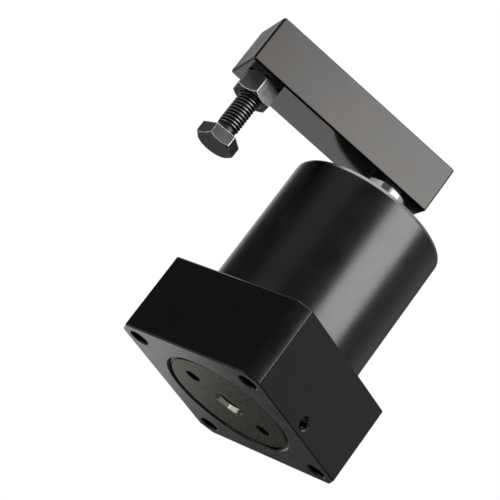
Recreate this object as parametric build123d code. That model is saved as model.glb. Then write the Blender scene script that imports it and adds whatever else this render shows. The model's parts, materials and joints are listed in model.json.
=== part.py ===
from build123d import *
from math import radians, sqrt, tan
import os

# Swing clamp cylinder with a bottom flange, in millimetres.
# Origin: centre of the flange's underside. +Z runs up the piston rod's axis.
# Rest pose: the arm has swung in over the work and is about to clamp.

# Flange and barrel, one turned and milled piece
barrel_diameter = 58.0
body_height = 82.5
barrel_edge_radius = 1.6
bore_diameter = 40.0
flange_margin = 3.0
flange_height = 29.5
flange_corner_chamfer = 4.0
flange_edge_break = 0.4
mount_hole_inset = 6.5
mount_hole_diameter = 6.6
mount_hole_chamfer = 0.4

# End cap screwed into the flange's underside
cap_diameter = 48.0
cap_recess = 0.4
cap_head_height = 8.0
cap_step_width = 1.1
cap_step_depth = 0.6
cap_edge_break = 0.2
cap_seat_chamfer = 0.4
cap_thread_diameter = 42.0
cap_thread_length = 6.6
cap_thread_pitch = 1.5
thread_depth_share = 0.7
thread_run_out = 1.0
spanner_hole_diameter = 5.0
spanner_hole_spacing = 29.0
spanner_hole_depth = 4.0
spanner_hole_angle = 49.0
spanner_hole_chamfer = 0.4
cap_oring_section = 1.0
cap_oring_offset = 0.9
feed_groove_width = 2.6
feed_groove_depth = 2.0
feed_hole_diameter = 2.5
feed_hole_radius = 16.4
feed_hole_count = 4

# Air ports and the drilled channel to the upper chamber
port_thread = 5.0
port_drill = 4.2
port_depth = 6.0
port_chamfer = 0.15
lower_port_height = 4.3
upper_port_height = 18.0
channel_diameter = 3.0
channel_relief_height = 2.8
channel_relief_overlap = 1.0
channel_plug_diameter = 4.0
channel_plug_length = 5.0
channel_plug_recess = 0.3

# Strokes and end gaps
clamp_stroke = 5.0
swing_stroke = 13.0
swing_angle = 90.0
end_gap = 0.5

# Guide pin, held in the end cap, with three ball grooves
pin_diameter = 10.0
pin_shank_diameter = 11.0
pin_end_depth = 1.5
pin_bore_chamfer = 0.2
pin_collar_diameter = 15.0
pin_collar_height = 3.0
pin_oring_section = 1.5
pin_oring_height = 8.0
pin_tip_margin = 2.5
pin_end_chamfer = 0.8
pin_collar_chamfer = 0.5
dowel_diameter = 2.0
dowel_length = 6.5
dowel_circle = 13.0
dowel_angle = 190.0
dowel_end_gap = 0.3
ball_diameter = 5.0
ball_count = 3
ball_circle = 11.4
ball_first_angle = 90.0
ball_clearance = 0.15
ball_seat_depth = 0.4

# Piston and rod, one turned piece
rod_diameter = 16.0
piston_length = 20.0
piston_collar_recess = 3.6
collar_clearance = 1.0
rod_root_cone = 1.0
drill_point_ratio = 0.6
piston_edge_chamfer = 0.8
piston_seal_height = 4.6
piston_seal_width = 4.2
piston_seal_depth = 3.2
wear_ring_height = 13.0
wear_ring_width = 8.0
wear_ring_thickness = 1.5
wear_ring_gap = 1.2
set_screw_thread = 6.0
set_screw_length = 6.0
set_screw_socket = 3.0
rod_bore_margin = 2.0
wrench_flat_width = 15.0
wrench_flat_height = 5.0
wrench_flat_angle = 6.0

# Rod guide and seals in the head
bushing_outside_diameter = 20.0
bushing_inset = 1.0
bushing_top_land = 2.5
rod_seal_diameter = 22.4
rod_seal_height = 4.6
wiper_diameter = 22.0
wiper_height = 3.5
wiper_lip = 1.1
seal_land = 1.4
head_land_clearance = 0.4

# Clamp arm and what it carries
arm_gap = 10.5
arm_angle = 57.5
arm_height = 19.0
arm_width = 22.0
arm_reach = 66.0
arm_tail = 12.5
arm_edge_break = 0.6
arm_bore_chamfer = 0.25
taper_length = 6.0
taper_ratio = 0.1
taper_end_gap = 0.5
arm_screw_thread = 8.0
arm_screw_length = 20.0
arm_screw_head_diameter = 13.0
arm_screw_head_height = 8.0
arm_screw_socket = 6.0
arm_screw_recess = 0.6
arm_screw_pocket_diameter = 14.5
arm_washer_thickness = 1.6
contact_bolt_inset = 9.3
contact_bolt_thread = 8.0
contact_bolt_length = 40.0
contact_bolt_projection = 23.6
contact_bolt_head_width = 13.0
contact_bolt_head_height = 4.7
contact_bolt_head_angle = 6.0
lock_nut_width = 13.0
lock_nut_height = 7.4
lock_nut_angle = 23.5
hexagon_face_share = 0.99
hexagon_corner_angle = 35.0

# Fits, each between two pieces
running_clearance = 0.08
seal_clearance = 0.06
screw_clearance = 1.0
press_clearance = 0.01
static_clearance = 0.05
oring_groove_width = 1.25
oring_groove_depth = 0.85
oring_squeeze = 0.82

# Widths and distances worked out from the sizes above
flange_width = barrel_diameter + 2 * flange_margin
mount_hole_spacing = flange_width - 2 * mount_hole_inset
channel_radius = (bore_diameter + barrel_diameter) / 4
contact_bolt_distance = arm_reach - contact_bolt_inset

# Heights worked out from the sizes above
cap_shoulder = cap_recess + cap_head_height
cap_top = cap_shoulder + cap_thread_length
piston_bottom = cap_top + end_gap + clamp_stroke
piston_top = piston_bottom + piston_length
head_face = piston_top + swing_stroke + end_gap
ball_height = piston_bottom + wear_ring_height
pin_top = ball_height + swing_stroke + ball_diameter / 2 + pin_tip_margin
rod_bore_top = pin_top + clamp_stroke + rod_bore_margin
wiper_seat = body_height - wiper_height
rod_seal_top = wiper_seat - seal_land
rod_seal_bottom = rod_seal_top - rod_seal_height
bushing_bottom = head_face + bushing_inset
bushing_top = rod_seal_bottom - bushing_top_land
arm_bottom = body_height + arm_gap
arm_top = arm_bottom + arm_height
taper_top = arm_bottom + taper_length
screw_seat = arm_top - arm_screw_recess - arm_screw_head_height
washer_seat = screw_seat - arm_washer_thickness
bolt_seat = arm_bottom - contact_bolt_projection


def rod_axis_cylinder(radius, bottom, top):
    """Cylinder on the rod's axis between two heights."""
    return Pos(0, 0, bottom) * Cylinder(radius, top - bottom, align=(Align.CENTER, Align.CENTER, Align.MIN))


def turned(*corners):
    """Solid turned about the rod's axis from corners given as radius, height."""
    outline = make_face(Polyline(*corners, close=True))
    return revolve(Plane.XZ * outline, Axis.Z)


def o_ring(mean_radius, section, height):
    """Round-section ring about the rod's axis."""
    return Pos(0, 0, height) * Torus(mean_radius, section / 2)


def side_hole(radius, near, far, height):
    """Round hole along +X between two distances from the rod's axis."""
    hole = Cylinder(radius, far - near, align=(Align.CENTER, Align.CENTER, Align.MIN))
    return Pos(near, 0, height) * Rot(0, 90, 0) * hole


def port_cut(height, inner_end):
    """Threaded port in the flange's +X face with its drilled way inwards."""
    face = flange_width / 2
    mouth = port_thread / 2 + port_chamfer
    depth = mouth - port_drill / 2
    cone = Cone(port_drill / 2, mouth, depth, align=(Align.CENTER, Align.CENTER, Align.MAX))
    return (
        side_hole(port_drill / 2, face - port_depth, face, height)
        + Pos(face, 0, height) * Rot(0, 90, 0) * cone
        + side_hole(feed_hole_diameter / 2, inner_end, face - port_depth, height)
    )


def chamfered_hole(radius, chamfer_width, mouth, top):
    """Drill for a hole that opens downwards at the mouth's height, with a countersunk edge."""
    wide = radius + chamfer_width + 1
    return turned((0, mouth - 1), (wide, mouth - 1), (radius, mouth + chamfer_width), (radius, top), (0, top))


def chamfered_hexagon(width, height, both_ends):
    """Hexagon from z = 0 up, its corners turned off at the free end or both ends."""
    corner = width / sqrt(3)
    face = width / 2 * hexagon_face_share
    drop = (corner - face) * tan(radians(hexagon_corner_angle))
    lower_end = [(0, 0), (face, 0), (corner, drop)] if both_ends else [(0, 0), (corner, 0)]
    turned_blank = turned(*lower_end, (corner, height - drop), (face, height), (0, height))
    prism = extrude(RegularPolygon(width / 2, 6, major_radius=False), height)
    return prism & turned_blank


def cylinder_body():
    """Square flange with cut corners and round barrel, with bore, ports, channel and mounting holes."""
    outline = Rectangle(flange_width, flange_width)
    outline = chamfer(outline.vertices(), flange_corner_chamfer)
    blank = extrude(outline, flange_height)
    blank = chamfer(blank.faces().sort_by(Axis.Z)[0].edges(), flange_edge_break)
    blank = chamfer(blank.faces().sort_by(Axis.Z)[-1].edges(), flange_edge_break)
    barrel = rod_axis_cylinder(barrel_diameter / 2, flange_height / 2, body_height)
    barrel = fillet(barrel.edges().sort_by(Axis.Z)[-1], barrel_edge_radius)
    body = blank + barrel

    bore = bore_diameter / 2
    seat = cap_diameter / 2
    cap_thread = cap_thread_diameter / 2
    relief = channel_radius - channel_diameter / 2 + channel_relief_overlap
    bush = bushing_outside_diameter / 2
    land = rod_diameter / 2 + head_land_clearance
    body -= turned(
        (0, -1),
        (seat + cap_seat_chamfer + 1, -1),
        (seat, cap_seat_chamfer),
        (seat, cap_shoulder),
        (cap_thread, cap_shoulder),
        (cap_thread, cap_top),
        (bore, cap_top),
        (bore, head_face - channel_relief_height),
        (relief, head_face - channel_relief_height),
        (relief, head_face),
        (bush, head_face),
        (bush, bushing_top),
        (land, bushing_top),
        (land, rod_seal_bottom),
        (rod_seal_diameter / 2, rod_seal_bottom),
        (rod_seal_diameter / 2, rod_seal_top),
        (land, rod_seal_top),
        (land, wiper_seat),
        (wiper_diameter / 2, wiper_seat),
        (wiper_diameter / 2, body_height + 1),
        (0, body_height + 1),
    )
    body -= port_cut(lower_port_height, seat - 1)
    body -= Rot(0, 0, 180) * port_cut(upper_port_height, channel_radius)
    plug_seat = body_height - channel_plug_length
    channel = rod_axis_cylinder(channel_diameter / 2, upper_port_height, body_height)
    channel += rod_axis_cylinder(channel_plug_diameter / 2, plug_seat, body_height + 1)
    body -= Pos(-channel_radius, 0, 0) * channel
    half = mount_hole_spacing / 2
    hole = chamfered_hole(mount_hole_diameter / 2, mount_hole_chamfer, 0, flange_height + 1)
    hole += Pos(0, 0, flange_height) * Rot(180, 0, 0) * chamfered_hole(
        mount_hole_diameter / 2, mount_hole_chamfer, 0, flange_height / 2
    )
    for x in (-half, half):
        for y in (-half, half):
            body -= Pos(x, y, 0) * hole
    return body


def end_cap():
    """Screw-in bottom cap: sealed head with a feed groove, thread, spanner holes and pin bore."""
    head = cap_diameter / 2 - static_clearance
    face = head - cap_step_width
    thread = cap_thread_diameter / 2 - static_clearance
    neck = thread - cap_thread_pitch * thread_depth_share
    ring_bottom = cap_recess + cap_oring_offset
    ring_top = ring_bottom + cap_oring_section * oring_groove_width
    ring_floor = head - cap_oring_section * oring_groove_depth
    feed_bottom = lower_port_height - feed_groove_width / 2
    feed_top = feed_bottom + feed_groove_width
    cap = turned(
        (0, cap_recess),
        (face - cap_edge_break, cap_recess),
        (face, cap_recess + cap_edge_break),
        (face, cap_recess + cap_step_depth),
        (head, cap_recess + cap_step_depth),
        (head, ring_bottom),
        (ring_floor, ring_bottom),
        (ring_floor, ring_top),
        (head, ring_top),
        (head, feed_bottom),
        (head - feed_groove_depth, feed_bottom),
        (head - feed_groove_depth, feed_top),
        (head, feed_top),
        (head, cap_shoulder),
        (neck, cap_shoulder),
        (neck, cap_shoulder + thread_run_out),
        (thread, cap_shoulder + thread_run_out + thread - neck),
        (thread, cap_top - thread_run_out),
        (thread - thread_run_out, cap_top),
        (0, cap_top),
    )
    pin_bore = pin_shank_diameter / 2 + press_clearance
    cap -= chamfered_hole(pin_bore, pin_bore_chamfer, cap_recess, cap_top + 1)
    spanner_floor = cap_recess + spanner_hole_depth
    spanner_hole = chamfered_hole(spanner_hole_diameter / 2, spanner_hole_chamfer, cap_recess, spanner_floor)
    for turn in (0, 180):
        cap -= Rot(0, 0, spanner_hole_angle + turn) * Pos(spanner_hole_spacing / 2, 0, 0) * spanner_hole
    for step in range(feed_hole_count):
        turn = Rot(0, 0, spanner_hole_angle + (step + 0.5) * 360 / feed_hole_count)
        radius = feed_hole_diameter / 2
        riser = rod_axis_cylinder(radius, lower_port_height, cap_top + 1)
        cap -= turn * side_hole(radius, feed_hole_radius, head, lower_port_height)
        cap -= turn * Pos(feed_hole_radius, 0, 0) * riser
    dowel_floor = cap_top - dowel_length + pin_collar_height / 2 - dowel_end_gap
    cap -= dowel(dowel_floor, cap_top + 1, press_clearance)
    return cap


def dowel(bottom, top, growth):
    """Dowel that keeps the guide pin from turning, between two heights."""
    place = Rot(0, 0, dowel_angle) * Pos(dowel_circle / 2, 0, 0)
    return place * rod_axis_cylinder(dowel_diameter / 2 + growth, bottom, top)


def guide_pin_dowel():
    """The dowel itself, half in the cap and half in the pin's collar."""
    bottom = cap_top - dowel_length + pin_collar_height / 2
    return dowel(bottom, bottom + dowel_length, 0)


def end_cap_oring():
    """Static ring that seals the cap's head in the flange."""
    section = cap_oring_section * oring_squeeze
    height = cap_recess + cap_oring_offset + cap_oring_section * oring_groove_width / 2
    return o_ring(cap_diameter / 2 - section / 2 - 0.02, section, height)


def guide_pin_oring():
    """Static ring that seals the guide pin's shank in the cap."""
    section = pin_oring_section * oring_squeeze
    return o_ring(pin_shank_diameter / 2 - section / 2 - 0.01, section, pin_oring_height)


def ball_groove():
    """Space one guide ball sweeps through: straight for clamping, then a helix for the swing."""
    radius = ball_diameter / 2 + ball_clearance
    path_radius = ball_circle / 2
    pitch = swing_stroke * 360 / swing_angle
    low = ball_height - clamp_stroke
    straight = Pos(path_radius, 0, low) * Cylinder(
        radius, clamp_stroke, align=(Align.CENTER, Align.CENTER, Align.MIN)
    )
    helix = Pos(0, 0, ball_height) * Helix(pitch, swing_stroke, path_radius)
    section = Plane(origin=helix @ 0, z_dir=helix % 0) * Circle(radius)
    groove = straight + sweep(section, path=helix, is_frenet=True)
    groove += Pos(path_radius, 0, low) * Sphere(radius)
    groove += Pos(path_radius, 0, ball_height) * Sphere(radius)
    end = helix @ 1
    groove += Pos(end.X, end.Y, end.Z) * Sphere(radius)
    return groove


def guide_pin():
    """Fixed pin: shank and collar in the cap, grooved end that steers the piston rod."""
    shank = pin_shank_diameter / 2
    ring_floor = shank - pin_oring_section * oring_groove_depth
    ring_half = pin_oring_section * oring_groove_width / 2
    bottom = cap_recess + pin_end_depth
    collar_top = cap_top + pin_collar_height
    radius = pin_diameter / 2
    pin = turned(
        (0, bottom),
        (shank - pin_end_chamfer, bottom),
        (shank, bottom + pin_end_chamfer),
        (shank, pin_oring_height - ring_half),
        (ring_floor, pin_oring_height - ring_half),
        (ring_floor, pin_oring_height + ring_half),
        (shank, pin_oring_height + ring_half),
        (shank, cap_top),
        (pin_collar_diameter / 2, cap_top),
        (pin_collar_diameter / 2, collar_top - pin_collar_chamfer),
        (pin_collar_diameter / 2 - pin_collar_chamfer, collar_top),
        (radius, collar_top),
        (radius, pin_top - pin_end_chamfer),
        (radius - pin_end_chamfer, pin_top),
        (0, pin_top),
    )
    for step in range(ball_count):
        pin -= Rot(0, 0, ball_first_angle + step * 360 / ball_count) * ball_groove()
    pin -= dowel(cap_top - 1, cap_top + pin_collar_height + 1, press_clearance)
    return pin


def piston_rod():
    """Hollow rod with its piston, seal and guide ring grooves, ball pockets, flats and taper."""
    piston = bore_diameter / 2 - running_clearance * 2
    rod = rod_diameter / 2
    seal_low = piston_bottom + piston_seal_height - piston_seal_width / 2
    seal_high = seal_low + piston_seal_width
    seal_floor = bore_diameter / 2 - piston_seal_depth
    ring_low = ball_height - wear_ring_width / 2
    ring_high = ring_low + wear_ring_width
    ring_floor = bore_diameter / 2 - wear_ring_thickness - static_clearance * 2
    inner = pin_diameter / 2 + running_clearance
    collar = pin_collar_diameter / 2 + collar_clearance
    taper_tip = rod - taper_length * taper_ratio / 2
    drill = arm_screw_thread / 2
    solid = turned(
        (collar, piston_bottom),
        (piston - piston_edge_chamfer, piston_bottom),
        (piston, piston_bottom + piston_edge_chamfer),
        (piston, seal_low),
        (seal_floor, seal_low),
        (seal_floor, seal_high),
        (piston, seal_high),
        (piston, ring_low),
        (ring_floor, ring_low),
        (ring_floor, ring_high),
        (piston, ring_high),
        (piston, piston_top - piston_edge_chamfer),
        (piston - piston_edge_chamfer, piston_top),
        (rod + rod_root_cone, piston_top),
        (rod, piston_top + rod_root_cone),
        (rod, arm_bottom),
        (taper_tip, taper_top),
        (drill, taper_top),
        (drill, screw_seat - arm_screw_length - 1),
        (0, screw_seat - arm_screw_length - 1 - drill * drill_point_ratio),
        (0, rod_bore_top + inner * drill_point_ratio),
        (inner, rod_bore_top),
        (inner, piston_bottom + piston_collar_recess),
        (collar, piston_bottom + piston_collar_recess),
    )
    pocket_floor = ball_circle / 2 + ball_diameter / 2 - ball_seat_depth
    pocket = side_hole(ball_diameter / 2 + static_clearance, 0, pocket_floor + 1, ball_height)
    pocket += side_hole(set_screw_thread / 2, pocket_floor, piston, ball_height)
    pocket -= rod_axis_cylinder(inner * 0.98, 0, arm_bottom)
    for step in range(ball_count):
        solid -= Rot(0, 0, ball_first_angle + step * 360 / ball_count) * pocket
    flats = rod_axis_cylinder(rod + 1, arm_bottom - wrench_flat_height, arm_bottom)
    flats -= Pos(0, 0, arm_bottom - wrench_flat_height / 2) * Box(
        2 * rod + 4, wrench_flat_width, wrench_flat_height + 1
    )
    return solid - Rot(0, 0, wrench_flat_angle) * flats


def guide_balls():
    """Steel balls that run in the guide pin's grooves."""
    balls = []
    for step in range(ball_count):
        place = Rot(0, 0, ball_first_angle + step * 360 / ball_count) * Pos(ball_circle / 2, 0, ball_height)
        balls.append(place * Sphere(ball_diameter / 2))
    return Compound(children=balls)


def ball_set_screws():
    """Socket set screws that back the balls inside the piston."""
    screws = []
    near = ball_circle / 2 + ball_diameter / 2 + static_clearance
    radius = set_screw_thread / 2 - static_clearance
    for step in range(ball_count):
        screw = side_hole(radius, near, near + set_screw_length, ball_height)
        socket = extrude(RegularPolygon(set_screw_socket / 2, 6, major_radius=False), set_screw_length / 2)
        screw -= Pos(near + set_screw_length / 2, 0, ball_height) * Rot(0, 90, 0) * socket
        screws.append(Rot(0, 0, ball_first_angle + step * 360 / ball_count) * screw)
    return Compound(children=screws)


def piston_seal_parts():
    """Sliding ring on the bore and the rubber ring that presses it outwards."""
    middle = piston_bottom + piston_seal_height
    half = piston_seal_width / 2 - static_clearance * 2
    outer = bore_diameter / 2 - seal_clearance
    floor = bore_diameter / 2 - piston_seal_depth + static_clearance * 2
    split = outer - 1.3
    slide_ring = turned(
        (split, middle - half),
        (outer - 0.3, middle - half),
        (outer, middle - half + 0.5),
        (outer, middle + half - 0.5),
        (outer - 0.3, middle + half),
        (split, middle + half),
    )
    section = split - floor
    energiser = turned(
        (floor, middle - half * 0.75),
        (floor + section * 0.3, middle - half),
        (split - section * 0.3, middle - half),
        (split, middle - half * 0.75),
        (split, middle + half * 0.75),
        (split - section * 0.3, middle + half),
        (floor + section * 0.3, middle + half),
        (floor, middle + half * 0.75),
    )
    return slide_ring, energiser


def piston_wear_ring():
    """Split guide strip round the piston."""
    outer = bore_diameter / 2 - seal_clearance
    inner = outer - wear_ring_thickness + static_clearance
    low = ball_height - wear_ring_width / 2 + static_clearance * 2
    high = low + wear_ring_width - static_clearance * 4
    ring = rod_axis_cylinder(outer, low, high) - rod_axis_cylinder(inner, low - 1, high + 1)
    cutter = Box(wear_ring_gap, 4 * wear_ring_thickness, 3 * wear_ring_width)
    return ring - Pos(0, -outer, ball_height) * Rot(0, 30, 0) * cutter


def rod_bushing():
    """Plain bearing pressed into the head, chamfered at both ends."""
    outer = bushing_outside_diameter / 2 - press_clearance
    inner = rod_diameter / 2 + running_clearance
    top = bushing_top - static_clearance
    return turned(
        (inner + 0.4, bushing_bottom),
        (outer - 0.6, bushing_bottom),
        (outer, bushing_bottom + 0.6),
        (outer, top),
        (inner, top),
        (inner, bushing_bottom + 0.4),
    )


def rod_seal():
    """Lip seal round the rod, its lips towards the upper chamber."""
    outer = rod_seal_diameter / 2 - static_clearance
    inner = rod_diameter / 2 + seal_clearance
    low = rod_seal_bottom + static_clearance * 2
    top = rod_seal_top - static_clearance * 2
    middle = (outer + inner) / 2
    height = top - low
    return turned(
        (inner, low + height * 0.06),
        (inner + 0.4, low),
        (middle, low + height * 0.42),
        (outer - 0.4, low),
        (outer, low + height * 0.06),
        (outer - 0.15, top),
        (inner + 0.35, top),
        (inner + 0.35, low + height * 0.45),
    )


def rod_wiper():
    """Wiper in the top of the head, its lip standing above the barrel."""
    outer = wiper_diameter / 2 - static_clearance
    inner = rod_diameter / 2 + seal_clearance
    low = wiper_seat + static_clearance
    return turned(
        (inner + 0.9, low),
        (outer, low),
        (outer, body_height - 0.4),
        (outer - 0.4, body_height),
        (inner + 1.3, body_height),
        (inner + 0.5, body_height + wiper_lip),
        (inner, body_height + wiper_lip),
        (inner + 0.5, body_height - 0.8),
        (inner + 0.9, body_height - 1.6),
    )


def channel_plug():
    """Pressed plug that closes the drilled channel at the top of the barrel."""
    top = body_height - channel_plug_recess
    bottom = body_height - channel_plug_length + static_clearance
    radius = channel_plug_diameter / 2 - press_clearance
    plug = turned(
        (0, bottom),
        (radius - 0.4, bottom),
        (radius, bottom + 0.4),
        (radius, top - 0.3),
        (radius - 0.3, top),
        (0, top),
    )
    return Pos(-channel_radius, 0, 0) * plug


def on_arm(shape):
    """Turn a shape built along +X to the arm's direction at rest, tip first."""
    return Rot(0, 0, arm_angle + 180) * shape


def clamp_arm():
    """Rectangular steel bar with the taper seat, screw pocket and contact bolt hole."""
    bar = Pos((arm_reach - arm_tail) / 2, 0, arm_bottom + arm_height / 2) * Box(
        arm_reach + arm_tail, arm_width, arm_height
    )
    bar = chamfer(bar.edges(), arm_edge_break)
    rod = rod_diameter / 2 + press_clearance
    narrow = rod - (taper_length + taper_end_gap) * taper_ratio / 2
    shank = arm_screw_thread / 2 + screw_clearance / 2
    pocket = arm_screw_pocket_diameter / 2
    bar -= turned(
        (0, arm_bottom - 1),
        (rod + arm_bore_chamfer, arm_bottom - 1),
        (rod + arm_bore_chamfer, arm_bottom),
        (rod, arm_bottom + arm_bore_chamfer),
        (narrow, taper_top + taper_end_gap),
        (shank, taper_top + taper_end_gap),
        (shank, washer_seat),
        (pocket, washer_seat),
        (pocket, arm_top - 0.4),
        (pocket + 1.4, arm_top + 1),
        (0, arm_top + 1),
    )
    thread = contact_bolt_thread / 2
    bar -= Pos(contact_bolt_distance, 0, 0) * turned(
        (0, arm_bottom - 1),
        (thread + 1.5, arm_bottom - 1),
        (thread, arm_bottom + 0.5),
        (thread, arm_top - 0.5),
        (thread + 1.5, arm_top + 1),
        (0, arm_top + 1),
    )
    return on_arm(bar)


def arm_screw():
    """Socket head cap screw that draws the arm onto the rod's taper."""
    head = arm_screw_head_diameter / 2
    top = screw_seat + arm_screw_head_height
    shank = arm_screw_thread / 2 - static_clearance
    end = screw_seat - arm_screw_length
    screw = turned(
        (0, end),
        (shank - 0.8, end),
        (shank, end + 0.8),
        (shank, screw_seat),
        (head, screw_seat),
        (head, top - 0.6),
        (head - 0.6, top),
        (0, top),
    )
    depth = arm_screw_head_height / 2
    socket = extrude(RegularPolygon(arm_screw_socket / 2, 6, major_radius=False), depth + 1)
    return on_arm(screw - Pos(0, 0, top - depth) * socket)


def arm_washer():
    """Washer under the arm screw's head."""
    outer = arm_screw_head_diameter / 2 + 0.5
    ring = rod_axis_cylinder(outer, washer_seat, screw_seat)
    return ring - rod_axis_cylinder(arm_screw_thread / 2 + 0.2, washer_seat - 1, screw_seat + 1)


def contact_bolt():
    """Hexagon head bolt, head down, whose end face presses on the work."""
    shank = contact_bolt_thread / 2 - static_clearance
    end = bolt_seat + contact_bolt_length
    head = chamfered_hexagon(contact_bolt_head_width, contact_bolt_head_height, False)
    head = Pos(0, 0, bolt_seat) * Rot(180, 0, contact_bolt_head_angle) * head
    stem = turned(
        (0, bolt_seat - 0.1),
        (shank, bolt_seat - 0.1),
        (shank, end - 0.9),
        (shank - 0.9, end),
        (0, end),
    )
    return on_arm(Pos(contact_bolt_distance, 0, 0) * (head + stem))


def lock_nut():
    """Hexagon nut that locks the contact bolt against the arm."""
    nut = chamfered_hexagon(lock_nut_width, lock_nut_height, True)
    hole = contact_bolt_thread / 2
    nut -= turned(
        (0, -1),
        (hole + 1.4, -1),
        (hole, 0.4),
        (hole, lock_nut_height - 0.4),
        (hole + 1.4, lock_nut_height + 1),
        (0, lock_nut_height + 1),
    )
    place = Pos(contact_bolt_distance, 0, arm_bottom - lock_nut_height) * Rot(0, 0, lock_nut_angle)
    return on_arm(place * nut)


def build_parts():
    """Every piece by its node name."""
    slide_ring, energiser = piston_seal_parts()
    return {
        "Cylinder_Body": cylinder_body(),
        "End_Cap": end_cap(),
        "End_Cap_ORing": end_cap_oring(),
        "Guide_Pin": guide_pin(),
        "Guide_Pin_ORing": guide_pin_oring(),
        "Guide_Pin_Dowel": guide_pin_dowel(),
        "Rod_Bushing": rod_bushing(),
        "Rod_Seal": rod_seal(),
        "Rod_Wiper": rod_wiper(),
        "Channel_Plug": channel_plug(),
        "Piston_Rod": piston_rod(),
        "Piston_Slide_Ring": slide_ring,
        "Piston_Seal_Energiser": energiser,
        "Piston_Wear_Ring": piston_wear_ring(),
        "Guide_Balls": guide_balls(),
        "Ball_Set_Screws": ball_set_screws(),
        "Clamp_Arm": clamp_arm(),
        "Arm_Screw": arm_screw(),
        "Arm_Washer": arm_washer(),
        "Contact_Bolt": contact_bolt(),
        "Lock_Nut": lock_nut(),
    }


os.makedirs("parts", exist_ok=True)
for name, shape in build_parts().items():
    export_step(shape, f"parts/{name}.step")
    print(f"{name}: {len(shape.solids())} solid(s), {shape.volume / 1000:.2f} cm3")
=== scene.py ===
# Swing clamp cylinder: the looks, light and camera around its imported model.
# Blender works in metres. The dictionaries give millimetres and degrees, as a maker would read them.
import json
from math import cos, pi, radians, sin, tan

import bmesh
import bpy
from mathutils import Matrix, Vector


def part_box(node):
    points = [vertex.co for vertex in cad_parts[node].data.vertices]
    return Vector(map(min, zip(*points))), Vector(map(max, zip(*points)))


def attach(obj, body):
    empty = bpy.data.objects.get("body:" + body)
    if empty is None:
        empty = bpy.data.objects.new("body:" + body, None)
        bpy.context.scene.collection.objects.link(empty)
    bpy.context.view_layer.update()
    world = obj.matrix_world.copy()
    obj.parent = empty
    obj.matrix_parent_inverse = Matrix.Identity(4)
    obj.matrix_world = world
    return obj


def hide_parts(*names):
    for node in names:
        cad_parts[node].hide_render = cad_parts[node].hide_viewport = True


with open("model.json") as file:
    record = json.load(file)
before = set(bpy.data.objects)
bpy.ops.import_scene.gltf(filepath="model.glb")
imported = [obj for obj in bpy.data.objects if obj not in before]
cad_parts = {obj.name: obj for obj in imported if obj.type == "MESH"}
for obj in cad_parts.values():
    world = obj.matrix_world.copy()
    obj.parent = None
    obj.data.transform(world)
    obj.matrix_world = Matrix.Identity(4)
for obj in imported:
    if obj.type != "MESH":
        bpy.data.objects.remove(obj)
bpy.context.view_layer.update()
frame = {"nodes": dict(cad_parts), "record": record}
nodes = frame["nodes"]
mm = 0.001
print("frame loaded:", len(nodes), "nodes")

# Places that several pieces share, read from the frame or named here as on the part's drawing
boltLow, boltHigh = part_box("Contact_Bolt")
nutLow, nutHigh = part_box("Lock_Nut")
bodyLow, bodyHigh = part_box("Cylinder_Body")
drawing = {
    "barrelFrom": 29.6,      # just above the flange's top
    "rimBottom": 81.0,       # where the rounding of the barrel's top rim starts
    "armAngle": 57.5,        # the arm's direction, from +X
    "armReach": 66.0,        # from the rod's axis to the arm's tip
    "armUnderside": 93.0,
    "lowerPortHeight": 4.3,
    "upperPortHeight": 18.0,
    "pinHoleRadius": 5.5,
}

# How squarely a face must look one way before it counts as such a face, as the cosine of the angle. The
# flange's corners look halfway between X and Y, so theirs is the product of both.
facing = {
    "barrelTop": 0.99,
    "flangeCorner": 0.45,
    "armUnderside": 0.9,
    "armSide": 0.7,
    "fastenerEnd": 0.95,
    "pinEnd": 0.9,
    "rodFlat": 0.95,
}
noiseSpan = (0.3, 0.7)       # nearly all the values of a noise lie between these


def linear(hexCode):  # sRGB hex to the linear colour Blender works in
    channels = [int(hexCode[i:i + 2], 16) / 255 for i in (1, 3, 5)]
    return tuple(c / 12.92 if c <= 0.04045 else ((c + 0.055) / 1.055) ** 2.4 for c in channels) + (1.0,)


def addNode(tree, kind, settings=None, inputs=None, node=None):  # a node with its settings, values and links
    node = node or tree.nodes.new(kind)
    for name, value in (settings or {}).items():
        setattr(node, name, value)
    for name, value in (inputs or {}).items():
        if isinstance(value, bpy.types.Node):
            value = value.outputs[0]
        if isinstance(value, bpy.types.NodeSocket):
            tree.links.new(value, node.inputs[name])
        else:
            node.inputs[name].default_value = value
    return node


def maths(tree, operation, *values, clamp=False):  # arithmetic on numbers and sockets
    return addNode(tree, "ShaderNodeMath", {"operation": operation, "use_clamp": clamp}, dict(enumerate(values)))


def vectors(tree, operation, *values):  # the same on vectors, as the socket that holds the result
    node = addNode(tree, "ShaderNodeVectorMath", {"operation": operation}, dict(enumerate(values)))
    return node.outputs["Value" if operation in ("LENGTH", "DISTANCE", "DOT_PRODUCT") else "Vector"]


def parts(tree, vector):  # the X, Y and Z of a vector
    return addNode(tree, "ShaderNodeSeparateXYZ", inputs={0: vector}).outputs


def scaled(tree, vector, factor):
    return addNode(tree, "ShaderNodeVectorMath", {"operation": "SCALE"}, {0: vector, "Scale": factor})


def blend(tree, share, first, second, kind="FLOAT"):  # from first to second; colours may be hex
    low, high, result = {"FLOAT": (2, 3, 0), "VECTOR": (4, 5, 1), "RGBA": (6, 7, 2)}[kind]
    first, second = (linear(side) if isinstance(side, str) else side for side in (first, second))
    return addNode(tree, "ShaderNodeMix", {"data_type": kind}, {0: share, low: first, high: second}).outputs[result]


def stretch(tree, value, start, end, low=0.0, high=1.0, smooth=False):  # start...end becomes low...high
    return addNode(tree, "ShaderNodeMapRange", {"interpolation_type": "SMOOTHSTEP" if smooth else "LINEAR"}, {
        "Value": value, "From Min": start, "From Max": end, "To Min": low, "To Max": high})


def noise(tree, place, size, detail, dimensions="3D"):  # patches of a size in mm; 1D runs along a distance
    return addNode(tree, "ShaderNodeTexNoise", {"noise_dimensions": dimensions}, {
        "W" if dimensions == "1D" else "Vector": place, "Scale": 1 / (size * mm), "Detail": detail})


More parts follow.
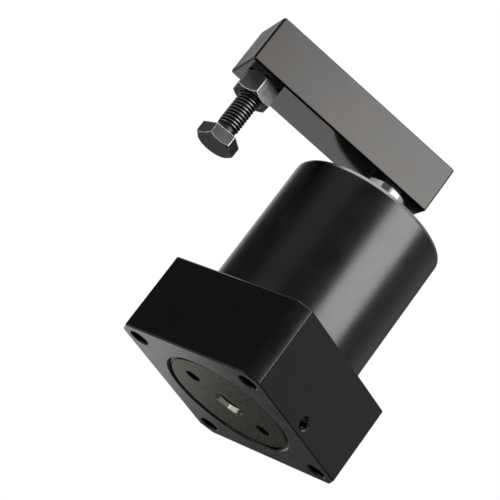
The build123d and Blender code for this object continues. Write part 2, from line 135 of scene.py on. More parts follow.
def scratches(tree, place, size, turn=0):  # noise drawn out by its sizes along X, Y and Z, turned about Z
    drawnOut = addNode(tree, "ShaderNodeMapping", {"vector_type": "TEXTURE"}, {
        "Vector": place, "Rotation": (0, 0, radians(turn)), "Scale": [length * mm for length in size]})
    return addNode(tree, "ShaderNodeTexNoise", inputs={"Vector": drawnOut, "Scale": 1.0, "Detail": 3.0})


def fromAxis(tree, place):  # distance from the vertical axis
    return vectors(tree, "LENGTH", vectors(tree, "MULTIPLY", place, (1, 1, 0)))


def leaned(tree, normal, angle):  # a level normal tipped upwards, which bends the shading and not the shape
    tilt = radians(angle)
    return vectors(tree, "MULTIPLY_ADD", normal, (cos(tilt), cos(tilt), 0), (0, 0, sin(tilt)))


def relief(tree, look, height, normal=None):  # marks too fine to be geometry
    inputs = {"Strength": look["markStrength"], "Distance": look["markDepth"] * mm, "Height": height}
    return addNode(tree, "ShaderNodeBump", inputs={**inputs, "Normal": normal} if normal else inputs)


def newMaterial(name):  # a material with its shader on the output, and the coordinates its patterns use
    material = bpy.data.materials.new(name)
    material.use_nodes = True
    tree = material.node_tree
    tree.nodes.clear()
    shader = addNode(tree, "ShaderNodeBsdfPrincipled")
    addNode(tree, "ShaderNodeOutputMaterial", inputs={"Surface": shader})
    coordinates = addNode(tree, "ShaderNodeTexCoord").outputs
    return material, tree, shader, coordinates["Object"], coordinates["Normal"]


# Black oxide on machined steel: a magnetite skin a micron thick. The steel keeps its tool marks and its
# gloss, and only what it mirrors goes dark. The barrel is turned and polished, the flange is ground, and
# a belt broke the flange's corners. The barrel's rim is painted lighter than the barrel, a painted highlight,
# and is shaded at a slant.
bodyLook = {
    "barrelColour": "#373737",
    "flangeColour": "#414141",
    "barrelRoughness": 0.26,
    "flangeRoughness": 0.15,
    "uneven": (-0.02, 0.03),  # how far the gloss wanders
    "turnedFeed": 0.45,      # between turning marks; the real 0.15 is too fine to show
    "groundLine": 0.30,      # width of one grinding scratch
    "groundLength": 14.0,
    "markDepth": 0.0016,
    "markStrength": 0.3,
    "cloud": 9.0,            # size of the oxide's cloudy patches
    "edge": 0.15,            # how far deburring rounded the machined edges
    "cornerRoughness": 0.2,
    # painted highlight: the rim's colour is lighter than the barrel's
    "rimHighlightColour": "#707070",
    "rimTilt": 22,           # the slant that the rim's rounding is shaded with, so that it catches the light
    "crown": 0.045,          # how much the belted corners seem to bulge, as a slope for each millimetre
}


def blackOxideSteel():
    look = bodyLook
    material, tree, shader, place, normal = newMaterial("blackOxideSteel")
    height, faced = parts(tree, place)["Z"], parts(tree, normal)
    flatOn = maths(tree, "ABSOLUTE", faced["Z"])
    onBarrel = maths(tree, "GREATER_THAN", height, drawing["barrelFrom"] * mm)
    aboveRim = maths(tree, "GREATER_THAN", height, drawing["rimBottom"] * mm)
    onTop = maths(tree, "GREATER_THAN", flatOn, facing["barrelTop"])
    onRim = maths(tree, "SUBTRACT", aboveRim, onTop, clamp=True)
    bothWays = maths(tree, "ABSOLUTE", maths(tree, "MULTIPLY", faced["X"], faced["Y"]))
    slanted = maths(tree, "GREATER_THAN", bothWays, facing["flangeCorner"])
    onCorner = maths(tree, "SUBTRACT", slanted, onBarrel, clamp=True)

    turned = noise(tree, height, look["turnedFeed"], 2.0, "1D")
    length, line = look["groundLength"], look["groundLine"]
    sideLines = scratches(tree, place, (length, length, line))
    flatLines = scratches(tree, place, (length, line, length))
    marks = blend(tree, onBarrel, blend(tree, flatOn, sideLines, flatLines), turned)

    plain = blend(tree, onBarrel, look["flangeRoughness"], look["barrelRoughness"])
    belted = blend(tree, onCorner, plain, look["cornerRoughness"])
    cloud = noise(tree, place, look["cloud"], 4.0)
    roughness = maths(tree, "ADD", belted, stretch(tree, cloud, *noiseSpan, *look["uneven"]))

    rounded = addNode(tree, "ShaderNodeBevel", {"samples": 4}, {"Radius": look["edge"] * mm})
    across = vectors(tree, "CROSS_PRODUCT", (0, 0, 1), normal)
    fromMiddle = vectors(tree, "DOT_PRODUCT", place, across)
    slope = maths(tree, "MULTIPLY", maths(tree, "MULTIPLY", fromMiddle, look["crown"] / mm), onCorner)
    crowned = vectors(tree, "NORMALIZE", vectors(tree, "MULTIPLY_ADD", across, slope, rounded))
    outward = vectors(tree, "NORMALIZE", vectors(tree, "MULTIPLY", normal, (1, 1, 0)))
    shaped = blend(tree, onRim, crowned, leaned(tree, outward, look["rimTilt"]), "VECTOR")

    black = blend(tree, onBarrel, look["flangeColour"], look["barrelColour"], "RGBA")
    # Painted highlight: the rim is drawn lighter than the rest of the barrel.
    addNode(tree, "", node=shader, inputs={
        "Base Color": blend(tree, onRim, black, look["rimHighlightColour"], "RGBA"),
        "Metallic": 1.0, "Roughness": roughness, "Normal": relief(tree, look, marks, shaped)})
    return material


# The cap is the same black steel, faced on a lathe: fine rings about the pin's hole. The hole itself was
# finished after blackening, so its wall and rim are bare and mirror the lamps.
capLook = {
    "colour": "#363630",
    "edgeTint": "#e7e7df",   # the oil on the cap warms and dims what mirrors at a slant
    "bareColour": "#8f8c82",
    "wallLean": 30,          # shaded as if its mouth had been broken by hand, so it mirrors what lies lower
    "roughness": 0.17,
    "uneven": (-0.03, 0.06),
    "grain": 1.111,
    "bareRoughness": 0.16,
    "facingFeed": 0.5,       # between the rings; the real 0.12 is too fine to show
    "markDepth": 0.0022,
    "markStrength": 0.4,
    "bareRim": 0.35,         # how far the bare metal reaches past the hole's wall
    "bareFade": 0.15,
}


def facedCapSteel():
    look = capLook
    material, tree, shader, place, normal = newMaterial("facedCapSteel")
    radius = fromAxis(tree, place)
    edge = (drawing["pinHoleRadius"] + look["bareRim"]) * mm
    bare = stretch(tree, radius, edge, edge + look["bareFade"] * mm, 1.0, 0.0)
    grain = noise(tree, place, look["grain"], 3.0)
    uneven = stretch(tree, grain, *noiseSpan, *(look["roughness"] + change for change in look["uneven"]))
    plainNormal = addNode(tree, "ShaderNodeNewGeometry").outputs["Normal"]
    shaped = blend(tree, bare, plainNormal, leaned(tree, normal, -look["wallLean"]), "VECTOR")
    rings = noise(tree, radius, look["facingFeed"], 2.0, "1D")
    addNode(tree, "", node=shader, inputs={
        "Base Color": blend(tree, bare, look["colour"], look["bareColour"], "RGBA"),
        "Metallic": 1.0, "Specular Tint": linear(look["edgeTint"]),
        "Roughness": blend(tree, bare, uneven, look["bareRoughness"]),
        "Normal": relief(tree, look, rings, shaped)})
    return material


# Phosphated steel: the arm was ground lengthwise, then phosphated, which leaves a grey crystal skin that
# scatters the light. It looks warm grey and satin, with a faint grain along the bar.
armLook = {
    "colour": "#383838",
    "warmColour": "#3b3937",
    # painted highlight: the underside's colour is lighter than the sides'
    "underHighlightColour": "#4a4a49",
    "patch": 26.0,           # size of the neutral and the warmer patches
    "patchSpan": (0.35, 0.6),
    "roughness": 0.35,
    "underRoughness": 0.1,   # the underside is glossier than the sides, and its lighter colour is a painted highlight
    "uneven": (-0.02, 0.03),
    "grainLength": 9.0,
    "grainWidth": 0.28,
    "crystal": 0.35,         # size of the phosphate's speckle, drawn coarser than the real 0.02
    "crystalShare": 0.4,     # of the speckle in the marks, the rest is grain
    "mottle": 12.0,
    "mottleShades": (0.9, 1.08),
    "markShades": (0.93, 1.07),
    "markDepth": 0.0025,
    "markStrength": 0.5,
    "edgeShade": 0.22,       # painted shade: how dark the sides are drawn along their lower edge and at the tip
    "edgeReach": (0.95, 0.45),  # where that painted shade starts and where it is full, from the edge
}


def phosphatedSteel():
    look = armLook
    material, tree, shader, place, normal = newMaterial("phosphatedSteel")
    downwards = maths(tree, "LESS_THAN", parts(tree, normal)["Z"], -facing["armUnderside"])
    turn = radians(drawing["armAngle"])
    sideways = vectors(tree, "DOT_PRODUCT", normal, (-sin(turn), cos(turn), 0))
    onSide = maths(tree, "GREATER_THAN", maths(tree, "ABSOLUTE", sideways), facing["armSide"])

    grainSize = (look["grainLength"], look["grainWidth"], look["grainWidth"])
    grain = scratches(tree, place, grainSize, drawing["armAngle"])
    crystals = noise(tree, place, look["crystal"], 2.0)
    mottle = noise(tree, place, look["mottle"], 3.0)
    marks = blend(tree, look["crystalShare"], grain, crystals)
    speckled = maths(tree, "MULTIPLY", stretch(tree, mottle, *noiseSpan, *look["mottleShades"]),
                     stretch(tree, marks, *noiseSpan, *look["markShades"]))

    patches = stretch(tree, noise(tree, place, look["patch"], 2.0), *look["patchSpan"])
    sideTint = blend(tree, patches, look["colour"], look["warmColour"], "RGBA")
    # Painted highlight: faces that point down take the lighter colour.
    tint = blend(tree, downwards, sideTint, look["underHighlightColour"], "RGBA")
    # Painted shade: the sides darken towards their lower edge and towards the tip.
    nearEdge = 0.0
    for inwards, edge in (((0, 0, 1), drawing["armUnderside"]),
                          ((cos(turn), sin(turn), 0), -drawing["armReach"])):
        starts, full = ((edge + reach) * mm for reach in look["edgeReach"])
        reached = stretch(tree, vectors(tree, "DOT_PRODUCT", place, inwards), starts, full)
        nearEdge = maths(tree, "MAXIMUM", nearEdge, maths(tree, "MULTIPLY", reached, onSide))
    shaded = stretch(tree, nearEdge, 0.0, 1.0, 1.0, look["edgeShade"])

    plain = blend(tree, downwards, look["roughness"], look["underRoughness"])
    addNode(tree, "", node=shader, inputs={
        "Base Color": scaled(tree, tint, maths(tree, "MULTIPLY", speckled, shaded)), "Metallic": 1.0,
        "Roughness": maths(tree, "ADD", plain, stretch(tree, mottle, *noiseSpan, *look["uneven"])),
        "Normal": relief(tree, look, marks)})
    return material


# Black oxide on cold-headed steel: fasteners come from the tumbler, so the black is uneven and rubbed
# through to the steel along every edge.
fastenerLook = {
    "colour": "#4a4a49",
    "wornColour": "#cacac7",
    "roughness": 0.48,
    "wornRoughness": 0.42,
    "uneven": (-0.08, 0.1),
    "speckle": 0.5,
    "cloud": 2.2,
    "cloudShades": (0.75, 1.3),
    "markDepth": 0.004,
    "markStrength": 0.35,
    "edgeWear": 0.4,         # how far from an edge the black is rubbed through
    "wearBend": (0.998, 0.96),  # how far an edge turns where that starts and where it is full, as a cosine
    "endShade": 0.42,        # painted shade: how much darker the ends that face down are drawn
}


def blackFastenerSteel(name, colour, roughness):
    look = fastenerLook
    material, tree, shader, place, normal = newMaterial(name)
    cloud = noise(tree, place, look["cloud"], 4.0)
    speckle = noise(tree, place, look["speckle"], 3.0)
    # Painted shade: ends that face down are darkened.
    downwards = maths(tree, "LESS_THAN", parts(tree, normal)["Z"], -facing["fastenerEnd"])
    shade = maths(tree, "MULTIPLY", stretch(tree, cloud, *noiseSpan, *look["cloudShades"]),
                  stretch(tree, downwards, 0.0, 1.0, 1.0, look["endShade"]))
    tint = scaled(tree, linear(colour)[:3], shade)
    rounded = addNode(tree, "ShaderNodeBevel", {"samples": 6}, {"Radius": look["edgeWear"] * mm})
    bend = vectors(tree, "DOT_PRODUCT", rounded, addNode(tree, "ShaderNodeNewGeometry").outputs["Normal"])
    rubbed = stretch(tree, bend, *look["wearBend"])
    addNode(tree, "", node=shader, inputs={
        "Base Color": blend(tree, rubbed, tint, look["wornColour"], "RGBA"), "Metallic": 1.0,
        "Roughness": stretch(tree, speckle, *noiseSpan, *(roughness + change for change in look["uneven"])),
        "Normal": relief(tree, look, speckle, rounded)})
    return material


# Rolled thread: smooth flanks, black in the roots and rubbed to the steel on the crests.
threadLook = {
    "rootColour": "#1e1e1e",
    "crestColour": "#7a7a78",
    "rootRadius": 3.45,
    "crestRadius": 3.92,
    "roughness": 0.38,
    "uneven": (-0.03, 0.05),
    "streak": 1.5,
}


def rolledThreadSteel():
    look = threadLook
    material, tree, shader, place, _ = newMaterial("rolledThreadSteel")
    root, crest = look["rootRadius"] * mm, look["crestRadius"] * mm
    rubbed = stretch(tree, fromAxis(tree, place), root, crest, smooth=True)
    streaks = noise(tree, place, look["streak"], 1.0)
    addNode(tree, "", node=shader, inputs={
        "Base Color": blend(tree, rubbed, look["rootColour"], look["crestColour"], "RGBA"), "Metallic": 1.0,
        "Roughness": stretch(tree, streaks, *noiseSpan, *(look["roughness"] + change for change in look["uneven"]))})
    return material


# Turned or ground bare metal: marks run round the rod's axis. Ground steel, polished ball steel and
# turned bronze differ in colour, gloss and how coarse the marks are. The ground pin's end keeps the black
# of its hardening, because only its round was ground.
bareLooks = {
    "groundSteel": {"colour": "#a9a7a2", "end": "#3f3e39", "roughness": 0.26, "feed": 0.3, "markDepth": 0.0012},
    "polishedBallSteel": {"colour": "#cfcfd2", "end": "#cfcfd2", "roughness": 0.06, "feed": 1.5,
                          "markDepth": 0.0001},
    "turnedBronze": {"colour": "#b98d4c", "end": "#b98d4c", "roughness": 0.3, "feed": 0.35, "markDepth": 0.002},
}
bareShared = {"patch": 4.545, "uneven": (0.8, 1.3), "markStrength": 0.4}    # uneven as a share of the roughness


def bareMetal(name):
    look = {**bareShared, **bareLooks[name]}
    material, tree, shader, place, normal = newMaterial(name)
    marks = noise(tree, parts(tree, place)["Z"], look["feed"], 3.0, "1D")
    patches = noise(tree, place, look["patch"], 3.0)
    onEnd = maths(tree, "GREATER_THAN", maths(tree, "ABSOLUTE", parts(tree, normal)["Z"]), facing["pinEnd"])
    addNode(tree, "", node=shader, inputs={
        "Base Color": blend(tree, onEnd, look["colour"], look["end"], "RGBA"), "Metallic": 1.0,
        "Roughness": stretch(tree, patches, *noiseSpan, *(look["roughness"] * share for share in look["uneven"])),
        "Normal": relief(tree, look, marks)})
    return material


# Hard chrome on the ground rod is bright and nearly a mirror. The two wrench flats are milled after
# chroming, so they show the steel with the fine arcs of the cutter, and mirror softly.
chromeLook = {
    "colour": "#d4d6da",
    "flatColour": "#c6c5c1",
    "roughness": 0.16,
    "flatRoughness": 0.24,
    "endLean": 11,           # shaded as if the end narrowed a little, so it mirrors what lies lower
    "grindingFeed": 0.25,
    "grindingDepth": 0.0006,
    "millingFeed": 0.22,
    "millingDepth": 0.0012,
    "markStrength": 0.4,
    "cutterCentre": (-30.0, -7.5, 75.0),     # the milling arcs curve about this point
    "flatAngle": 6.0,        # the flats' direction, from +X
    "flatBottom": 88.0,
}


def groundChrome():
    look = chromeLook
    material, tree, shader, place, normal = newMaterial("groundHardChrome")
    height = parts(tree, place)["Z"]
    angle = radians(look["flatAngle"])
    across = maths(tree, "ABSOLUTE", vectors(tree, "DOT_PRODUCT", normal, (sin(angle), -cos(angle), 0)))
    above = maths(tree, "GREATER_THAN", height, look["flatBottom"] * mm)
    onFlat = maths(tree, "MULTIPLY", maths(tree, "GREATER_THAN", across, facing["rodFlat"]), above)
    cutter = vectors(tree, "DISTANCE", place, [part * mm for part in look["cutterCentre"]])
    grinding = noise(tree, height, look["grindingFeed"], 3.0, "1D")
    milling = noise(tree, cutter, look["millingFeed"], 2.0, "1D")
    plainNormal = addNode(tree, "ShaderNodeNewGeometry").outputs["Normal"]
    bump = addNode(tree, "ShaderNodeBump", inputs={
        "Strength": look["markStrength"], "Height": blend(tree, onFlat, grinding, milling),
        "Distance": blend(tree, onFlat, look["grindingDepth"] * mm, look["millingDepth"] * mm),
        "Normal": blend(tree, above, plainNormal, leaned(tree, normal, -look["endLean"]), "VECTOR")})
    addNode(tree, "", node=shader, inputs={
        "Base Color": blend(tree, onFlat, look["colour"], look["flatColour"], "RGBA"), "Metallic": 1.0,
        "Roughness": blend(tree, onFlat, look["roughness"], look["flatRoughness"]), "Normal": bump})
    return material


# Moulded seals and guides: nitrile rubber, polyurethane, bronze-filled PTFE and phenolic cloth.
# Each is a plain moulding with a soft sheen; the filled ones show their filler as fine specks.
sealLooks = {
    "nitrileRubber": {"colour": "#1a1a1b", "fleck": "#242425", "roughness": 0.62, "fleckSize": 0.6},
    "polyurethane": {"colour": "#24324e", "fleck": "#2b3a58", "roughness": 0.36, "fleckSize": 1.2},
    "bronzeFilledPtfe": {"colour": "#5c5038", "fleck": "#8f7a4b", "roughness": 0.5, "fleckSize": 0.25},
    "phenolicCloth": {"colour": "#5b3a26", "fleck": "#7a5236", "roughness": 0.55, "fleckSize": 0.5},
}
sealShared = {"fleckSpan": (0.45, 0.65), "markStrength": 0.3, "markDepth": 0.01}


def mouldedSeal(name):
    look = {**sealShared, **sealLooks[name]}
    material, tree, shader, place, _ = newMaterial(name)
    flecks = noise(tree, place, look["fleckSize"], 4.0)
    spread = stretch(tree, flecks, *look["fleckSpan"])
    addNode(tree, "", node=shader, inputs={
        "Base Color": blend(tree, spread, look["colour"], look["fleck"], "RGBA"),
        "Roughness": look["roughness"], "Normal": relief(tree, look, flecks)})
    return material


finishes = {
    "body_black_steel": blackOxideSteel(),
    "cap_black_steel": facedCapSteel(),
    "arm_steel": phosphatedSteel(),
    "fastener_black_steel": blackFastenerSteel(
        "blackFastenerSteel", fastenerLook["colour"], fastenerLook["roughness"]),
    "hard_chrome": groundChrome(),
    "ground_steel": bareMetal("groundSteel"),
    "ball_steel": bareMetal("polishedBallSteel"),
    "bronze": bareMetal("turnedBronze"),
    "nitrile_rubber": mouldedSeal("nitrileRubber"),
    "polyurethane": mouldedSeal("polyurethane"),
    "bronze_filled_ptfe": mouldedSeal("bronzeFilledPtfe"),
    "guide_resin": mouldedSeal("phenolicCloth"),
}
wornEdge = blackFastenerSteel("wornEdgeSteel", fastenerLook["wornColour"], fastenerLook["wornRoughness"])
rolledThread = rolledThreadSteel()

for part in frame["record"]["subparts"]:
    solid = nodes[part["node"]]
    solid.data.materials.clear()
    solid.data.materials.append(finishes[part["material_slot"]])
print("finishes on", len(nodes), "solids")


# Hexagon blanks for the bolt's head and the nut: the corners are turned off at 35 degrees, which leaves
# the curved edges at the ends of the flats. Rings of points are joined by faces, bottom to top.
hexagonLook = {
    "pointsRound": 96,
    "faceCircle": 0.99,      # diameter of the turned face, as a share of the width across flats
    "plainFace": 0.98,       # the same share on an end that has no chamfer
    "chamferAngle": 35,
}


def hexagonRings(width, height, turn, lowChamfer, highChamfer):
    look = hexagonLook
    flat = width / 2
    rings = []
    for low in (True, False):
        chamfered = lowChamfer if low else highChamfer
        inner, outer = [], []
        for i in range(look["pointsRound"]):
            angle = 2 * pi * i / look["pointsRound"]
            reach = flat / cos((angle + pi / 6) % (pi / 3) - pi / 6)
            circle = flat * look["faceCircle" if chamfered else "plainFace"]
            drop = (reach - circle) * tan(radians(look["chamferAngle"])) if chamfered else 0.0
            face = 0.0 if low else height
            outwards = Vector((cos(angle + radians(turn)), sin(angle + radians(turn)), 0))
            inner.append(outwards * circle + Vector((0, 0, face)))
            outer.append(outwards * reach + Vector((0, 0, face + (drop if low else -drop))))
        rings += [inner, outer] if low else [outer, inner]
    return rings


def circleRing(radius, height, count, turn):
    angles = [2 * pi * i / count + radians(turn) for i in range(count)]
    return [Vector((radius * cos(angle), radius * sin(angle), height)) for angle in angles]


def joinRings(shape, rings, closed=True, capLow=False, capHigh=False):  # faces between rings of points, in mm
    points = [[shape.verts.new(point * mm) for point in ring] for ring in rings]
    for lower, upper in zip(points, points[1:]):
        for i in range(len(lower) - (0 if closed else 1)):
            j = (i + 1) % len(lower)
            shape.faces.new((lower[i], lower[j], upper[j], upper[i]))
    if capLow:
        shape.faces.new(points[0][::-1])
    if capHigh:
        shape.faces.new(points[-1])
    return points


edgeLook = {"sharpAngle": 25, "bevelAngle": 20, "bevelSegments": 2}


def finishPiece(shape, name, location, body, materials, bevel=0.0):  # mesh to riding object
    bmesh.ops.recalc_face_normals(shape, faces=shape.faces)
    mesh = bpy.data.meshes.new(name)
    shape.to_mesh(mesh)
    shape.free()
    piece = bpy.data.objects.new(name, mesh)
    bpy.context.scene.collection.objects.link(piece)
    piece.location = location
    for material in materials:
        mesh.materials.append(material)
    mesh.shade_smooth()
    mesh.set_sharp_from_angle(angle=radians(edgeLook["sharpAngle"]))
    if bevel:
        edge = piece.modifiers.new("roundedEdges", "BEVEL")
        edge.width = bevel * mm
        edge.segments = edgeLook["bevelSegments"]
        edge.limit_method = "ANGLE"
        edge.angle_limit = radians(edgeLook["bevelAngle"])
        edge.material = len(materials) - 1
        edge.harden_normals = True
    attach(piece, body)
    return piece


# Contact bolt, M8 with a 13 mm head, head down. The thread is a real 60 degree helix with its
# crests and roots flattened. It runs out into a plain neck above the head.
boltLook = {
    "radius": 3.95,
    "pitch": 1.25,
    "depth": 0.72,
    "crest": 0.125,          # width of the flat crest, as a share of the pitch
    "flank": 0.36,           # the same for one flank; the root takes what is left
    "neckRadius": 3.55,
    "neckLength": 2.4,
    "runOut": 1.3,
    "endChamfer": 0.9,
    "stepsPerTurn": 48,
    "seat": 0.05,            # how deep the stem's end sits in the head
    "sameCut": 1e-9,         # metres within which a point counts as on the cut
    "headWidth": 13.0,
    "headHeight": 4.7,
    "headTurn": 21.5,        # which way the head's flats face, from +X
    "edge": 0.2,             # rounding of the head's edges
}


def threadRadius(look, share, height, neckTop, top):  # radius at a share of one pitch, and where the thread ends
    crest, flank = look["crest"], look["flank"]
    if share < crest:
        cut = 0.0
    elif share < crest + flank:
        cut = (share - crest) / flank
    elif share < 1 - flank:
        cut = 1.0
    else:
        cut = (1 - share) / flank
    radius = look["radius"] - look["depth"] * cut
    fade = min(max((height - neckTop) / look["runOut"], 0.0), 1.0)
    radius = look["neckRadius"] + (radius - look["neckRadius"]) * fade
    return min(radius, look["radius"] - look["endChamfer"] + max(top - height, 0.0))


def threadedStem(shape, look, bottom, top):  # helical skin from bottom to top, cut flat and closed at both ends
    steps, pitch = look["stepsPerTurn"], look["pitch"]
    crest, flank = look["crest"], look["flank"]
    shares = [0.0, crest, crest + flank / 2, crest + flank, 1 - flank, 1 - flank / 2]
    neckTop = bottom + look["neckLength"]
    turns = int((top - bottom) / pitch) + 3
    points = []
    for i in range(turns * steps):
        start = bottom - pitch + pitch * i / steps
        angle = 2 * pi * i / steps
        for share in shares:
            height = start + pitch * share
            radius = threadRadius(look, share, height, neckTop, top)
            points.append(shape.verts.new(Vector((radius * cos(angle), radius * sin(angle), height)) * mm))
    count = len(shares)

    def at(i, k):
        return points[i * count + k] if k < count else points[(i + steps) * count]
    for i in range((turns - 1) * steps - 1):
        for k in range(count):
            shape.faces.new((at(i, k), at(i + 1, k), at(i + 1, k + 1), at(i, k + 1)))
    for height, side in ((bottom, -1), (top, 1)):
        cut = bmesh.ops.bisect_plane(
            shape, geom=shape.verts[:] + shape.edges[:] + shape.faces[:], dist=look["sameCut"],
            plane_co=(0, 0, height * mm), plane_no=(0, 0, side), clear_outer=True)
        rim = [edge for edge in cut["geom_cut"] if isinstance(edge, bmesh.types.BMEdge)]
        bmesh.ops.contextual_create(shape, geom=rim)


def contactBolt():
    look = boltLook
    head, stem = bmesh.new(), bmesh.new()
    rings = hexagonRings(look["headWidth"], look["headHeight"], look["headTurn"], True, False)
    joinRings(head, rings, capLow=True, capHigh=True)
    threadedStem(stem, look, look["headHeight"] - look["seat"], (boltHigh.z - boltLow.z) / mm)
    centre = (boltLow + boltHigh) / 2
    place = Vector((centre.x, centre.y, boltLow.z))
    finishPiece(head, "Contact_Bolt_Head", place, "rod_and_arm",
                [finishes["fastener_black_steel"], wornEdge], look["edge"])
    return finishPiece(stem, "Contact_Bolt_Thread", place, "rod_and_arm", [rolledThread])


# Lock nut, M8 with 13 mm flats, chamfered on both faces and countersunk at both ends of its thread.
nutLook = {
    "width": 13.0,
    "holeRadius": 4.0,
    "countersink": 0.45,
    "turn": 51.0,            # which way its flats face, from +X
    "edge": 0.34,            # rounding of its edges
}


def lockNut():
    look = nutLook
    shape = bmesh.new()
    height = (nutHigh.z - nutLow.z) / mm
    outside = hexagonRings(look["width"], height, look["turn"], True, True)
    count = hexagonLook["pointsRound"]
    mouth = look["holeRadius"] + look["countersink"]
    inside = [
        circleRing(mouth, height, count, look["turn"]),
        circleRing(look["holeRadius"], height - look["countersink"], count, look["turn"]),
        circleRing(look["holeRadius"], look["countersink"], count, look["turn"]),
        circleRing(mouth, 0.0, count, look["turn"]),
    ]
    points = joinRings(shape, outside + inside)
    for i in range(count):
        j = (i + 1) % count
        shape.faces.new((points[-1][i], points[-1][j], points[0][j], points[0][i]))
    centre = (nutLow + nutHigh) / 2
    return finishPiece(shape, "Lock_Nut_Shaped", Vector((centre.x, centre.y, nutLow.z)), "rod_and_arm",
                       [finishes["fastener_black_steel"], wornEdge], look["edge"])


# M5 thread in both air ports. The CAD hole is the tap drill's, so the ridges stand in a little from it.
portLook = {
    "pitch": 0.8,
    "wall": 2.14,            # the ridges' feet, just inside the metal
    "crest": 1.86,
    "start": 0.45,           # from the flange's face
    "turns": 5.5,
    "stepsPerTurn": 40,
    "fadeSteps": 12,         # over which the ridge rises from the wall at both ends
    "profile": ((0.06, 0), (0.42, 1), (0.58, 1), (0.94, 0)),     # place in one pitch, and foot or crest
}


def portThread(name, side, height):
    look = portLook
    shape = bmesh.new()
    steps = int(look["turns"] * look["stepsPerTurn"])
    rows = []
    for i in range(steps + 1):
        angle = 2 * pi * i / look["stepsPerTurn"]
        depth = look["start"] + look["pitch"] * i / look["stepsPerTurn"]
        fade = min(1.0, i / look["fadeSteps"], (steps - i) / look["fadeSteps"])
        row = []
        for share, risen in look["profile"]:
            radius = look["wall"] - (look["wall"] - look["crest"]) * fade * risen
            away = bodyHigh.x / mm - depth - look["pitch"] * share
            row.append(Vector((side * away, side * radius * cos(angle), height + radius * sin(angle))))
        rows.append(row)
    joinRings(shape, rows, closed=False)
    return finishPiece(shape, name, (0, 0, 0), "housing", [finishes["body_black_steel"]])


stemPiece = contactBolt()
nutPiece = lockNut()
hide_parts("Contact_Bolt")
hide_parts("Lock_Nut")
portThread("Lower_Port_Thread", 1, drawing["lowerPortHeight"])
portThread("Upper_Port_Thread", -1, drawing["upperPortHeight"])
print("bolt, nut and port threads made")


# The camera looks up at the flange's underside, turned about its own axis so that the rod leans right.
photoView = {
    "place": (426.98, -450.53, -162.66),
    "aim": (-17.27, -17.73, 47.16),
    "roll": 37.29,
    "focalPixels": 1958.2,
    "framePixels": 500,
    "sensor": 36.0,
}


def placeCamera():
    view = photoView
    lens = bpy.data.cameras.new("photoCamera")
    lens.sensor_fit = "HORIZONTAL"
    lens.sensor_width = view["sensor"]
    lens.lens = view["focalPixels"] / view["framePixels"] * view["sensor"]
    lens.clip_start = 0.01
    camera = bpy.data.objects.new("photoCamera", lens)
    bpy.context.scene.collection.objects.link(camera)
    place = Vector(view["place"]) * mm
    turn = (Vector(view["aim"]) * mm - place).to_track_quat("-Z", "Y").to_matrix().to_4x4()
    camera.matrix_world = Matrix.Translation(place) @ turn @ Matrix.Rotation(radians(view["roll"]), 4, "Z")
    bpy.context.scene.camera = camera


placeCamera()
print("camera placed")

# What the metal mirrors: a dim room, and cards of grey and white about it, the brighter ones low and at
# the rim. Angles are in degrees from +X and up from level. The cards fade over their soft edges, and one
# has upright edges that lean. Cameras see white everywhere, and matt surfaces get an even light.
room = {"level": 0.1, "ambient": 0.35, "seen": 1.0}
cards = {
    "greyWall": {"start": 28, "end": 96, "softStart": 14, "softEnd": 40,
                 "low": -12, "high": 62, "softHeight": 12, "level": 0.42},
    "sideCard": {"start": -122, "end": -80, "softStart": 16, "softEnd": 16,
                 "low": -12, "high": 40, "softHeight": 12, "level": 0.42},
    "overhead": {"start": -180, "end": 180, "softStart": 0.1, "softEnd": 0.1,
                 "low": 62, "high": 95, "softHeight": 16, "level": 1.2},
    "rimCard": {"start": -192, "end": -22, "softStart": 10, "softEnd": 30,
                "low": 34, "high": 95, "softHeight": 8, "level": 2.4},
    "whiteBackdrop": {"start": 141, "end": 163, "softStart": 6, "softEnd": 30,
                      "low": -6, "high": 68, "softHeight": 8, "level": 1.0},
    "lowBackdrop": {"start": 130.9, "end": 166, "softStart": 2, "softEnd": 20,
                    "low": -18.5, "high": -4, "softHeight": 2, "lean": -0.28, "level": 0.86},
    "flatBoard": {"start": -146, "end": -104, "softStart": 10, "softEnd": 10,
                  "low": -15, "high": 5, "softHeight": 6, "level": 1.3},
    "rodCard": {"start": -32, "end": 68, "softStart": 12, "softEnd": 66,
                "low": -13, "high": 4, "softHeight": 5, "level": 0.9},
    "armBoard": {"start": 129, "end": 166, "softStart": 4, "softEnd": 20,
                 "low": -34, "high": -19.5, "softHeight": 2, "level": 0.72},
    "table": {"start": -180, "end": 60, "softStart": 30, "softEnd": 30,
              "low": -54, "high": -32, "softHeight": 8, "level": 0.5},
    "underBoard": {"start": -104, "end": -64, "softStart": 8, "softEnd": 8,
                   "low": -52, "high": -26, "softHeight": 6, "level": 3.5},
    "lowBoard": {"start": -142, "end": -72, "softStart": 16, "softEnd": 12,
                 "low": -50, "high": -9, "softHeight": 8, "level": 1.6},
}


def direction(azimuth, height):
    return Vector((cos(radians(height)) * cos(radians(azimuth)), cos(radians(height)) * sin(radians(azimuth)),
                   sin(radians(height))))


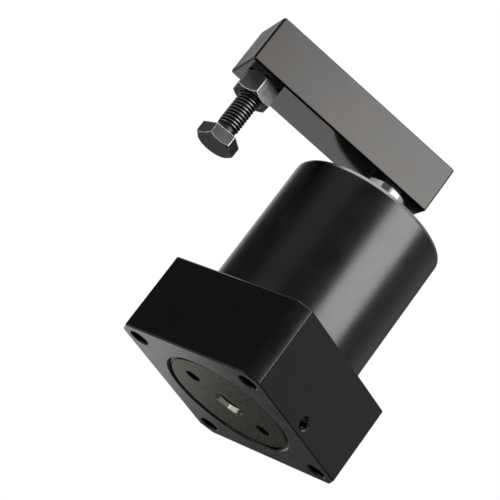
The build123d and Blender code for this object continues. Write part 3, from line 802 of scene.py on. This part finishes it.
def studioWorld():
    world = bpy.data.worlds.new("studio")
    bpy.context.scene.world = world
    world.use_nodes = True
    world.cycles.sampling_method = "NONE"
    tree = world.node_tree
    tree.nodes.clear()
    rays = addNode(tree, "ShaderNodeLightPath")
    towards = addNode(tree, "ShaderNodeTexCoord").outputs["Generated"]
    rise = maths(tree, "ARCSINE", parts(tree, towards)["Z"])
    mirrored = room["level"]
    for card in cards.values():
        half = radians(card["end"] - card["start"]) / 2
        faced = parts(tree, addNode(tree, "ShaderNodeVectorRotate", {"rotation_type": "Z_AXIS"}, {
            "Vector": towards, "Angle": -radians(card["start"]) - half}))
        azimuth = maths(tree, "ARCTAN2", faced["Y"], faced["X"])
        upright = maths(tree, "MULTIPLY_ADD", rise, -card.get("lean", 0.0), azimuth)
        share = 1.0
        for value, edge, soft, side in (
                (upright, -half, card["softStart"], 1), (upright, half, card["softEnd"], -1),
                (rise, radians(card["low"]), card["softHeight"], 1),
                (rise, radians(card["high"]), card["softHeight"], -1)):
            reach = side * radians(soft) / 2
            fade = stretch(tree, value, edge - reach, edge + reach, smooth=True)
            share = maths(tree, "MULTIPLY", fade, share)
        mirrored = blend(tree, share, mirrored, card["level"])
    polished = maths(tree, "MAXIMUM", rays.outputs["Is Glossy Ray"], rays.outputs["Is Transmission Ray"])
    level = blend(tree, polished, room["ambient"], mirrored)
    seen = blend(tree, rays.outputs["Is Camera Ray"], level, room["seen"])
    light = addNode(tree, "ShaderNodeBackground", inputs={"Color": (1, 1, 1, 1), "Strength": seen})
    addNode(tree, "ShaderNodeOutputWorld", inputs={"Surface": light})


# Softboxes, each by the direction it stands in, its distance and size in metres, and its brightness as a
# surface
softboxes = {
    "keySoftbox": {"azimuth": -2, "height": 25, "distance": 1.0, "width": 0.84, "tall": 0.62, "glow": 8.6},
    "topSoftbox": {"azimuth": 60, "height": 78, "distance": 1.1, "width": 0.7, "tall": 0.7, "glow": 1.6},
}


def studioLights():
    middle = Vector((0, 0, (bodyLow.z + bodyHigh.z) / 2))
    for name, look in softboxes.items():
        lamp = bpy.data.lights.new(name, "AREA")
        lamp.shape = "RECTANGLE"
        lamp.size = look["width"]
        lamp.size_y = look["tall"]
        lamp.energy = look["glow"] * pi * look["width"] * look["tall"]
        box = bpy.data.objects.new(name, lamp)
        bpy.context.scene.collection.objects.link(box)
        away = direction(look["azimuth"], look["height"])
        box.location = middle + away * look["distance"]
        box.rotation_euler = away.to_track_quat("Z", "Y").to_euler()


# The floor shows from above and takes the part's shadow. From below it is clear, because the
# photograph looks up at the underside.
floorLook = {
    "colour": "#e6e6e4",
    "size": 6000.0,
    "below": 0.3,            # under the flange, so that the two don't share a plane
    "grain": 2.0,
    "roughness": (0.85, 0.95),
    "gloss": 0.2,
}


def paleFloor():
    look = floorLook
    material = bpy.data.materials.new("paleFloor")
    material.use_nodes = True
    tree = material.node_tree
    tree.nodes.clear()
    coordinates = addNode(tree, "ShaderNodeTexCoord")
    grain = noise(tree, coordinates.outputs["Object"], look["grain"], 2.0)
    rough = stretch(tree, grain, 0.0, 1.0, *look["roughness"])
    painted = addNode(tree, "ShaderNodeBsdfPrincipled", inputs={
        "Base Color": linear(look["colour"]), "Roughness": rough, "Specular IOR Level": look["gloss"]})
    clear = addNode(tree, "ShaderNodeBsdfTransparent")
    side = addNode(tree, "ShaderNodeNewGeometry")
    mixed = addNode(tree, "ShaderNodeMixShader", inputs={0: side.outputs["Backfacing"], 1: painted, 2: clear})
    addNode(tree, "ShaderNodeOutputMaterial", inputs={"Surface": mixed})
    mesh = bpy.data.meshes.new("floor")
    half = look["size"] / 2 * mm
    corners = [(-half, -half, 0), (half, -half, 0), (half, half, 0), (-half, half, 0)]
    mesh.from_pydata(corners, [], [(0, 1, 2, 3)])
    mesh.materials.append(material)
    floor = bpy.data.objects.new("floor", mesh)
    floor.location.z = -look["below"] * mm
    bpy.context.scene.collection.objects.link(floor)
    floor.visible_glossy = False
    floor.visible_diffuse = False
    floor.visible_shadow = False


studioWorld()
studioLights()
paleFloor()
bpy.context.scene.view_settings.view_transform = "Standard"
print("light and floor set")
